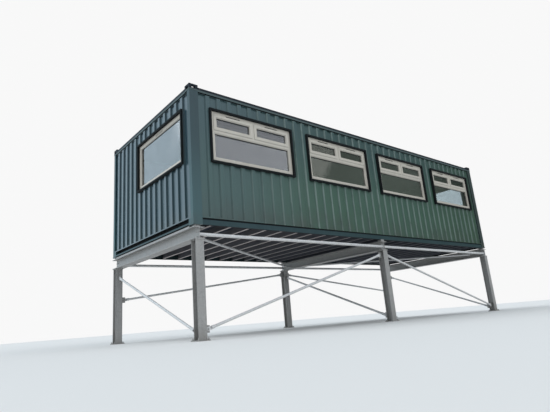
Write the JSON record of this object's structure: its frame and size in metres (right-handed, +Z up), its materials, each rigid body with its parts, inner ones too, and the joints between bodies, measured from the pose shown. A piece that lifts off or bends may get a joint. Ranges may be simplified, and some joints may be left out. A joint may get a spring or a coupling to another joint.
{
  "type": "portable site cabin on a steel stand",
  "caption": "Long container-type site cabin with corrugated walls, a row of windows and a braced steel stand.",
  "frame": {"origin": "on the ground at the middle of the footprint", "axes": "+Z up, X along the cabin with the near end towards -X, and the long front with the row of windows towards -Y"},
  "size_m": [10.06, 3.808, 4.451],
  "materials": {
    "green_paint": "dark green coach paint on steel sheet, slightly chalked",
    "dark_surround": "near-black green paint on folded steel",
    "window_white": "white window plastic, a little yellowed",
    "window_glass": "clear sealed double glazing",
    "galvanised": "hot-dip galvanised, dull grey with spangle",
    "floor_steel": "primed steel floor channels",
    "door_metal": "satin steel",
    "floor_board": "plywood deck",
    "lining_board": "white faced lining board"
  },
  "bodies": {
    "root": {"corner_posts": "green_paint", "top_corner_castings": "green_paint", "bottom_corner_castings": "green_paint", "top_side_rails": "green_paint", "top_end_rails": "green_paint", "bottom_side_rails": "green_paint", "bottom_end_sills": "green_paint", "front_wall": "green_paint", "rear_wall": "green_paint", "near_end_wall": "green_paint", "far_end_wall": "green_paint", "roof_panel": "green_paint", "door_frame": "green_paint", "door_leaf": "green_paint", "front_window_surrounds": "dark_surround", "end_window_surrounds": "dark_surround", "door_surround": "dark_surround", "front_window_frames": "window_white", "front_opening_lights": "window_white", "window_ventilators": "window_white", "end_window_frames": "window_white", "front_window_glass": "window_glass", "opening_light_glass": "window_glass", "end_window_glass": "window_glass", "end_cross_beams": "galvanised", "middle_cross_beam": "galvanised", "front_columns": "galvanised", "rear_columns": "galvanised", "cap_plates": "galvanised", "base_plates": "galvanised", "packers": "galvanised", "tie_tubes": "galvanised", "front_diagonals": "galvanised", "rear_diagonals": "galvanised", "cross_braces": "galvanised", "plan_braces": "galvanised", "brace_cleats": "galvanised", "cross_members": "floor_steel", "door_hinges": "door_metal", "door_handle": "door_metal", "floor_deck": "floor_board", "ceiling": "lining_board", "front_wall_lining": "lining_board", "rear_wall_lining": "lining_board", "end_wall_linings": "lining_board"}
  },
  "joints": []
}
